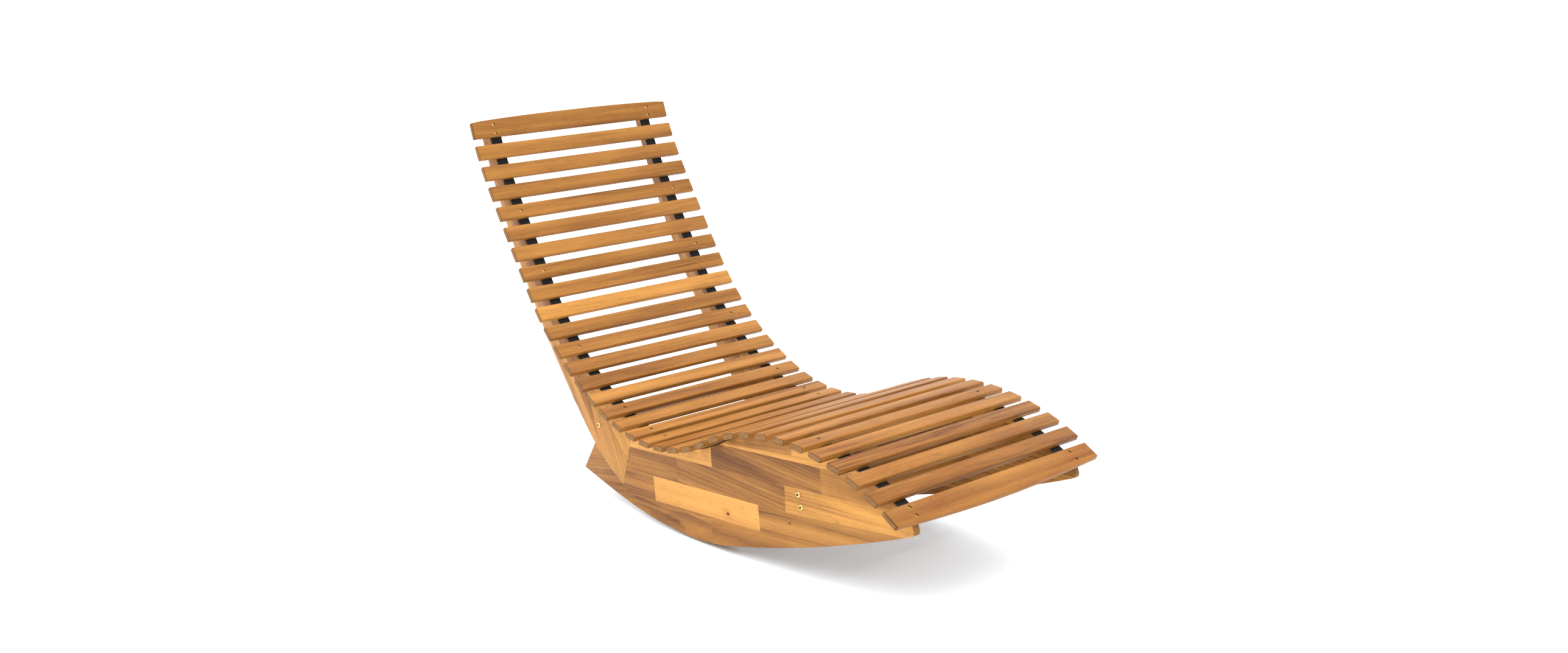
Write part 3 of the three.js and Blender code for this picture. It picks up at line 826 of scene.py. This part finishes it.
floor_contact = Place(0.0, 0.0, 0.0)
rocker_front = Arc(0.208, 1.0, 1)
rocker_front_end = floor_contact.after(rocker_front)
toe_top = mat_place(toe_end).beside(-frame_drop)
toe_face = Place(toe_top.x, toe_top.z, toe_slope)
toe_arc = arc_through(rocker_front_end, toe_face.beside(0.0, toe_depth))
belly_start = rocker_front_end.turned_round()
belly_arcs = [Arc(0.263, 0.677, -1), Arc(0.354, 0.511, -1)]
rail_top_rear = mat_place(rail_start).beside(-frame_drop - rail_depth)
rear_arcs = belly_arcs + [arc_through(walk(belly_start, belly_arcs), rail_top_rear)]
seam_top = mat_place(seam_on_top).beside(-frame_drop)
seam_bottom = walk(belly_start, rear_arcs, seam_on_belly).beside(0.0)
seam_along = (seam_top - seam_bottom).normalized()
seam_forward = Vector((seam_along.z, 0.0, -seam_along.x))
print("seam", round((seam_top - seam_bottom).length, 4), "m long")

# %% [markdown]
# ## Outline of a side frame
# Rail and panel are drawn as one shape, because their edges run on smoothly across the joint:
# along the top under the mat to the toe, round the toe, and back along the rocker and the belly
# to the head. A saw cut at the hip then parts the outline in two.

# %% Outline of a side frame
def frame_outline(forward):
    """The outline in front of the seam (1) or behind it (-1)."""
    pencil = Pencil(mat_place(rail_start), -frame_drop)
    for arc in part_of(mat_arcs, rail_start, toe_end):
        pencil.arc(arc)
    toe_heel = walk(rocker_front_end, [toe_arc]).turned_round()
    sweep = toe_face.heading - (toe_heel.heading - 2 * math.pi)
    tangent = toe_round * math.tan(sweep / 2)
    pencil.line(toe_face.beside(0.0, toe_depth - tangent), toe_face.heading)
    pencil.arc(Arc(toe_round * sweep, toe_round, -1), 0.0015)
    lower = toe_arc.length - tangent
    pencil.place = walk(rocker_front_end, [toe_arc], lower).turned_round()
    for arc in [Arc(lower, toe_arc.radius, -toe_arc.turn)] + rear_arcs:
        pencil.arc(arc)
    point = seam_bottom + seam_forward * seam_gap * forward
    return keep_beyond(pencil.closed(), point, seam_forward * forward)


# %% [markdown]
# ## Staves
# Acacia trees are thin, so wide boards are glued up from narrow staves. A board's glue lines are
# kept as a tree of straight cuts: each cut has a left and a right side, and each side is a
# stave or is cut again. A board is pulled out of its outline to its thickness and rounded over,
# and its faces are cut along the same lines, so every joint is sharp.

# %% Staves
def ahead_of(line, point):
    """Positive for points to the left of a line (x1, z1, x2, z2), in millimetres."""
    x1, z1, x2, z2 = [length / 1000 for length in line]
    return (x2 - x1) * (point.z - z1) - (z2 - z1) * (point.x - x1)


def stave_at(tree, point):
    while not isinstance(tree, str):
        line, left, right = tree
        tree = left if ahead_of(line, point) > 0 else right
    return tree


def divide(mesh, faces, tree):
    """Cuts faces along the glue lines of a tree of staves."""
    if isinstance(tree, str):
        return
    line, left, right = tree
    x1, z1, x2, z2 = [length / 1000 for length in line]
    parts = set(faces)
    for face in faces:
        parts.update(face.edges)
        parts.update(face.verts)
    cut = bmesh.ops.bisect_plane(
        mesh, geom=list(parts), dist=hair, plane_co=(x1, 0, z1), plane_no=(z1 - z2, 0, x2 - x1),
    )
    made = [part for part in cut["geom"] if isinstance(part, bmesh.types.BMFace)]
    divide(mesh, [face for face in made if ahead_of(line, face.calc_center_median()) > 0], left)
    divide(mesh, [face for face in made if ahead_of(line, face.calc_center_median()) <= 0], right)


def stave_directions(point, wood):
    across = point.z * math.cos(wood.angle) - point.x * math.sin(wood.angle)
    along = point.x * math.cos(wood.angle) + point.z * math.sin(wood.angle)
    return across, along, abs(point.y) - frame_inner


def is_rim(edge):
    """True for the edges of a board's two faces, except at the seam, which stays sharp."""
    first, second = edge.verts
    on_seam = all(abs((vert.co - seam_bottom).dot(seam_forward)) < 0.001 for vert in edge.verts)
    return abs(first.co.y - second.co.y) < 0.0001 and not on_seam


def board(mesh, tree, timber, inner, outer, rounding=0.0022, cutter=None):
    """Pulls a board out of its outline, rounds its rims and writes the grain of its staves."""
    bmesh.ops.translate(mesh, vec=(0, inner, 0), verts=mesh.verts)
    pulled = bmesh.ops.extrude_face_region(mesh, geom=mesh.faces[:])
    moved = [part for part in pulled["geom"] if isinstance(part, bmesh.types.BMVert)]
    bmesh.ops.translate(mesh, vec=(0, outer - inner, 0), verts=moved)
    bmesh.ops.recalc_face_normals(mesh, faces=mesh.faces)
    round_over(mesh, sharp_edges(mesh, is_rim), rounding, 3)
    if cutter:
        mesh = cut_away(mesh, cutter)
    divide(mesh, mesh.faces[:], tree)
    mesh.normal_update()

    def wood_at(face):
        return timber[stave_at(tree, face.calc_center_median())]

    def end_mark(face):
        wood = wood_at(face)
        slope = abs(face.normal.x * math.cos(wood.angle) + face.normal.z * math.sin(wood.angle))
        return 0.75 * max(0.0, slope - 0.35) / 0.65

    write_grain(mesh, wood_at, stave_directions, end_mark)
    return mesh


def frame_board(side, forward, tree, staves, knots):
    """A panel or rail. Staves are given as tone, warmth, figure and slope, and only the near
    board, on the right, has the knots."""
    timber = {name: stock(*looks) for name, looks in staves.items()}
    if side == "right":
        for name, knot in knots.items():
            timber[name] = timber[name]._replace(knot=knot)
    inner, outer = sides[side] * frame_inner, sides[side] * frame_outer
    return board(frame_outline(forward), tree, timber, inner, outer)


# %% [markdown]
# ## Rocker panels
# Each rocker panel is sawn from a board that is glued up from staves of different trees. The
# near panel's glue lines, butt ends and two knots are the ones in the photograph: five rows that
# slope up a little towards the toe. Of the far one only a strip shows, so it is taken to be
# glued up in the same way from other boards.

# %% Rocker panels
lower_rows = (
    (-75.3, 65.0, 489.1, 93.4),
    ((-75.3, 65.0, -78.3, 117.9), "rust", ((316.3, 85.3, 312.7, 145.5), "honey", "olive")),
    ((140.0, 18.9, 140.1, 77.6), "copper", "straw"),
)
panel_tree = (
    (-171.6, 178.5, 718.2, 228.4),
    (
        (226.6, 258.9, 525.2, 274.9),
        ((227.2, 265.3, 432.4, 282.6), ((434.9, 283.0, 435.8, 295.6), "rose", "cream"), "butter"),
        ((153.9, 196.3, 152.7, 242.3), "pale", ((525.9, 220.5, 525.2, 274.9), "umber", "tan")),
    ),
    (
        (406.5, 150.9, 406.7, 208.1),
        ((-142.4, 121.7, 406.8, 149.6), ((20.1, 132.7, 20.1, 184.9), "rust", "walnut"), lower_rows),
        ((406.8, 149.6, 767.5, 182.5), "amber", lower_rows),
    ),
)
panel_staves = {
    "rose": (0.52, 0.7, 0.5, 5),
    "cream": (0.16, 0.2, 0.3, 4),
    "butter": (0.12, 0.1, 0.5, 5),
    "pale": (0.10, 0.1, 0.2, 3),
    "umber": (0.72, 0.3, 0.9, -4),
    "tan": (0.58, 0.4, 0.5, 0),
    "rust": (0.58, 0.7, 0.6, 2),
    "walnut": (0.70, 0.4, 1.0, -3),
    "amber": (0.40, 0.3, 0.8, 3),
    "honey": (0.15, 0.1, 0.15, 3),
    "olive": (0.60, 0.1, 0.7, 4),
    "copper": (0.58, 0.8, 0.9, 3),
    "straw": (0.62, 0.1, 0.4, 4),
}
panel_knots = {"honey": (203.6, 98.1, 4.0), "olive": (418.0, 128.0, 2.5)}
add_pair("glued_panel", "rocker_panel",
         lambda side: frame_board(side, 1, panel_tree, panel_staves, panel_knots),
         oiled_acacia)

# %% [markdown]
# ## Back rails
# The back rail carries the mat from the hip to the head. Its staves run along its length, with
# one stepped joint near the lower end. The near one has a dark knot on its rear edge.

# %% Back rails
rail_tree = (
    (-294.6, 150.4, -330.0, 260.0),
    ((-700.0, 760.0, -315.0, 190.0), "peach", ((-740.0, 760.0, -355.0, 190.0), "sand", "bark")),
    ((-700.0, 760.0, -190.0, 150.0), "wheat", ((-740.0, 760.0, -250.0, 120.0), "gold", "sand")),
)
rail_staves = {
    "peach": (0.60, 0.5, 0.7, -60),
    "sand": (0.40, 0.3, 0.5, -61),
    "bark": (0.22, 0.2, 0.4, -62),
    "gold": (0.40, 0.3, 0.5, -64),
    "wheat": (0.30, 0.4, 0.6, -62),
}
rail_knots = {"bark": (-402.0, 252.0, 9.0)}
add_pair("glued_rail", "back_rail",
         lambda side: frame_board(side, -1, rail_tree, rail_staves, rail_knots),
         oiled_acacia)

# %% [markdown]
# ## Rear rocker plates
# A third board on the inner side of each frame splices rail and panel together, and its lower
# edge is the part of the rocker that touches the floor, on a narrow flat. It is screwed on from
# the inside, with the screw heads in recesses.

# %% Rear rocker plates
plate_outer, plate_thickness, plate_round = 0.2297, 0.018, 0.0018
plate_inner = plate_outer - plate_thickness
plate_front, plate_front_height = 0.215, 0.070
plate_top = Vector((-0.080, 0.0, 0.168))
tail_slope, tail_height = math.radians(54), 0.094
front_edge_arcs = [rocker_front, toe_arc]
rear_edge_arcs = [Arc(0.236, 1.0, -1), Arc(0.178, 4.2, -1)]
plate_screws = [(-80, 144.5), (-80, 74), (71.7, 35), (-240.1, 136.7), (-240.1, 121)]
recess_radius, recess_depth = 0.0043, 0.0044


def plate_outline():
    front = walk(floor_contact, front_edge_arcs, plate_front)
    pencil = Pencil(front.turned_round())
    for arc in reversed(part_of(front_edge_arcs, 0.0, plate_front)):
        pencil.arc(Arc(arc.length, arc.radius, -arc.turn))
    for arc in rear_edge_arcs:
        pencil.arc(arc)
    tail = pencil.tip.co
    pencil.line(Place(tail.x, tail.z, tail_slope).beside(0.0, tail_height))
    pencil.line(plate_top)
    pencil.line(front.beside(plate_front_height))
    return keep_beyond(pencil.closed(), (0, 0, floor_flat), (0, 0, 1))


def plate_screw_places(sign, depth):
    """Places at a depth under the inner face of a plate, with their Z axis out of the wood."""
    turn = Matrix.Rotation(math.radians(90 * sign), 4, "X")
    spots = [(x / 1000, sign * (plate_inner + depth), z / 1000) for x, z in plate_screws]
    return [Matrix.Translation(spot) @ turn for spot in spots]


def rear_plate(side):
    sign = sides[side]
    above = 0.004
    recess = turned([(0.0, above), (recess_radius, above), (recess_radius, -recess_depth),
                     (0.0, -recess_depth)], 20)
    recesses = copies(recess, plate_screw_places(sign, 0.0))
    timber = {"plate": stock(0.60, 0.35, 0.6, 8)}
    inner, outer = sign * plate_inner, sign * plate_outer
    return board(plate_outline(), "plate", timber, inner, outer, plate_round, recesses)


add_pair("rear_plate", "rear_rocker", rear_plate, oiled_acacia)

# %% [markdown]
# ## Webbing straps
# Two straps of black webbing run under all the slats, over the top edges of the frames. They
# are cut off square, just short of both ends of the mat. Woven webbing is soft and fills out the
# space it lies in, so it is drawn 0.6 mm thicker than its solid and nearly rests on the frames.

# %% Webbing straps
strap_middle, strap_width, strap_thickness = 0.2315, 0.030, 0.0020
strap_setback, strap_drop = 0.006, 0.0003


def ribbon(line, width, thickness):
    """Widens a drawn line towards positive Y and thickens it to the right of its heading."""
    widened = bmesh.ops.extrude_edge_only(line, edges=line.edges[:])
    moved = [part for part in widened["geom"] if isinstance(part, bmesh.types.BMVert)]
    bmesh.ops.translate(line, vec=(0, width, 0), verts=moved)
    bmesh.ops.recalc_face_normals(line, faces=line.faces)
    level = max(line.faces, key=lambda face: abs(face.normal.z))
    bmesh.ops.solidify(line, geom=line.faces[:], thickness=math.copysign(thickness, level.normal.z))
    return line


def strap(side):
    """A flat ribbon along the line under the slats, with the weave's directions as grain."""
    pencil = Pencil(mat_place(strap_setback), -strap_drop)
    for arc in part_of(mat_arcs, strap_setback, mat_length - strap_setback):
        pencil.arc(arc, 0.006)
    edge = sides[side] * strap_middle - strap_width / 2
    bmesh.ops.translate(pencil.mesh, vec=(0, edge, 0), verts=pencil.mesh.verts)
    strip = ribbon(pencil.mesh, strap_width, strap_thickness)
    grain = strip.loops.layers.float_vector.new("grain")
    for face in strip.faces:
        for loop in face.loops:
            loop[grain] = (loop.vert.co.y, loop.vert[pencil.drawn], 0.0)
    return strip


add_pair("webbing", "strap", strap, webbing)

# %% [markdown]
# ## Stretchers, nuts and dowels
# The two stretchers between the frames keep their solids, with the nut holes and dowel holes in
# them, and get the wood finish with its grain along their length. So do the nuts and dowels,
# in brass and beech.

# %% Stretchers, nuts and dowels
def carry_over(name, finish):
    """Shows a solid as it is, in a finish."""
    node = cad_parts[name]
    node.data.materials.clear()
    node.data.materials.append(finish)
    print(name, "keeps its solid")
    return node


def stretcher_end_mark(face):
    near_end = abs(face.calc_center_median().y) > frame_inner - 0.01
    return 1.0 if abs(face.normal.y) > 0.9 and near_end else 0.0


def carry_over_stretcher(name, wood):
    node = carry_over(name, oiled_acacia)
    low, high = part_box(name)
    heart = (low + high) / 2
    heart.y = 0.0
    mesh = bmesh.new()
    mesh.from_mesh(node.data)
    write_grain(mesh, lambda face: wood, lambda point, _: point - heart, stretcher_end_mark)
    mesh.to_mesh(node.data)
    mesh.free()


carry_over_stretcher("front_stretcher", stock(0.6, 0.3, 0.6))
carry_over_stretcher("back_stretcher", stock(0.5, 0.3, 0.6))
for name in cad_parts:
    if name.startswith("barrel_nut"):
        carry_over(name, dark_brass)
    if "dowel" in name:
        carry_over(name, dowel_wood)

# %% [markdown]
# ## Frame bolts
# Six brass bolts with flat domed heads and a hexagon socket pull the frames up to the
# stretchers. Each is turned as one profile, and the socket's round is drawn to a hexagon. The
# faces inside the socket get painted shade, a darker brass.

# %% Frame bolts
bolt_length, bolt_radius, bolt_head_radius, bolt_head_gap = 0.0643, 0.0030, 0.0072, 0.0003
hexagon_radius, socket_reach = 0.0026, 0.0027


def draw_out(part, above, low, high, factor_at):
    """Moves the corners between two radii in or out, by a factor for their angle."""
    for vert in part.verts:
        if vert.co.z > above and low < vert.co.xy.length < high:
            factor = factor_at(math.atan2(vert.co.y, vert.co.x))
            vert.co.x *= factor
            vert.co.y *= factor


def paint_socket_shade(part, above, radius):
    """Gives the faces within a radius the part's second finish: painted shade, a darker brass."""
    for face in part.faces:
        middle = face.calc_center_median()
        face.material_index = int(middle.z > above and middle.xy.length < radius)


def hexagon(angle):
    return math.cos(math.pi / 6) / math.cos(angle % (math.pi / 3) - math.pi / 6)


def bolt():
    profile = [(0.0, -bolt_length), (bolt_radius, -bolt_length), (bolt_radius, 0.0),
               (bolt_head_radius, 0.0), (bolt_head_radius, 0.0005), (0.0069, 0.0012),
               (0.0062, 0.0020), (0.0052, 0.0027), (0.0040, 0.0031), (0.0030, 0.0031),
               (0.0028, 0.0030), (hexagon_radius, 0.0028), (hexagon_radius, 0.0009), (0.0, 0.0006)]
    part = turned(profile, 24)
    draw_out(part, 0.0005, 0.002, socket_reach, hexagon)
    # Painted shade: the inside of the socket gets the darker brass.
    paint_socket_shade(part, 0.0003, socket_reach)
    return part


for node in [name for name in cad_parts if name.startswith("frame_bolt")]:
    low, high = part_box(node)
    sign = 1 if node.endswith("left") else -1
    middle = (low + high) / 2 - chair_origin
    seat = Matrix.Translation((middle.x, sign * (frame_outer + bolt_head_gap), middle.z))
    part = copies(bolt(), [seat @ Matrix.Rotation(math.radians(-90 * sign), 4, "X")])
    piece = add_piece(node.replace("frame", "brass"), part, bright_brass, [node])
    # The second finish is painted shade for the socket.
    piece.data.materials.append(socket_brass)

# %% [markdown]
# ## Screws
# Countersunk screws with a cross recess hold the mat to the frames and the plates to the boards.
# Each is turned about its axis; the recess starts round and its rim is drawn out to a cross.
# The recess gets painted shade, a darker brass.

# %% Screws
screw_head, screw_radius, point_length = 0.004, 0.0019, 0.004


def cross(angle):
    return 0.45 + 0.95 * math.cos(2 * angle) ** 4


def screw(length):
    """A brass screw with a cross recess, standing on its point. Its head's top is at zero."""
    profile = [(0.0, -length), (screw_radius, -length + point_length), (screw_radius, -screw_head),
               (0.0037, -0.0026), (0.0039, -0.0010), (0.0038, -0.0003), (0.0030, 0.0),
               (0.0016, 0.0), (0.0012, -0.0012), (0.0, -0.0014)]
    part = turned(profile, 16)
    draw_out(part, -0.0013, 0.001, 0.0017, cross)
    # Painted shade: the inside of the cross recess gets the darker brass.
    paint_socket_shade(part, -0.002, 0.0015)
    return part


def add_screws(name, length, places):
    piece = add_piece(name, copies(screw(length), places), bright_brass)
    # The second finish is painted shade for the cross recess.
    piece.data.materials.append(socket_brass)
    print(name, len(places))


height = slat_thickness - bore_depth + screw_head
places = []
for number in range(1, slat_count + 1):
    for offset in screw_offsets(number):
        for sign in sides.values():
            turn = Matrix.Rotation(chance.uniform(0, math.pi), 4, "Z")
            seat = Matrix.Translation((offset, sign * screw_side, height))
            places.append(on_mat(number) @ seat @ turn)
add_screws("mat_screws", 0.0344, places)
depth = recess_depth - screw_head
places = plate_screw_places(1, depth) + plate_screw_places(-1, depth)
add_screws("plate_screws", 0.0299, places)

# %% [markdown]
# ## Staples
# The straps are stapled to the underside of each slat before the mat is laid on the frames. The
# crown is pressed flat against the webbing and the two legs go up through it into the wood.

# %% Staples
staple_side, wire_width, wire_thickness = 0.2235, 0.0012, 0.0005


def staple():
    """A staple of flat wire: a straight crown and two legs bent up."""
    bend, reach, leg_top = 0.0007, 0.005, 0.004
    quarter = Arc(bend * math.pi / 2, bend, 1)
    down = -math.pi / 2
    pencil = Pencil(Place(-reach, leg_top, down))
    pencil.line(Vector((-reach, 0.0, bend)), down)
    pencil.arc(quarter)
    pencil.line(Vector((reach - bend, 0.0, 0.0)), 0.0)
    pencil.arc(quarter)
    pencil.line(Vector((reach, 0.0, leg_top)))
    return ribbon(pencil.mesh, wire_width, wire_thickness)


places = []
turn = Matrix.Rotation(math.pi / 2, 4, "Z")
for number in range(1, slat_count + 1):
    for sign in sides.values():
        under_strap = (wire_width / 2, sign * staple_side, -strap_drop - strap_thickness)
        places.append(on_mat(number) @ Matrix.Translation(under_strap) @ turn)
add_piece("staples", copies(staple(), places), dark_brass)
print("staples:", len(places))

# %% [markdown]
# ## Sizes
# The finished chair has to fill the same space as the solids, so both boxes are printed side by
# side.

# %% Sizes
visual_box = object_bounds()
boxes = {"cad": [list(corner) for corner in cad_box], "visual": [list(corner) for corner in visual_box]}
for name, box in boxes.items():
    print(name, "box", [[round(c, 5) for c in corner] for corner in box])
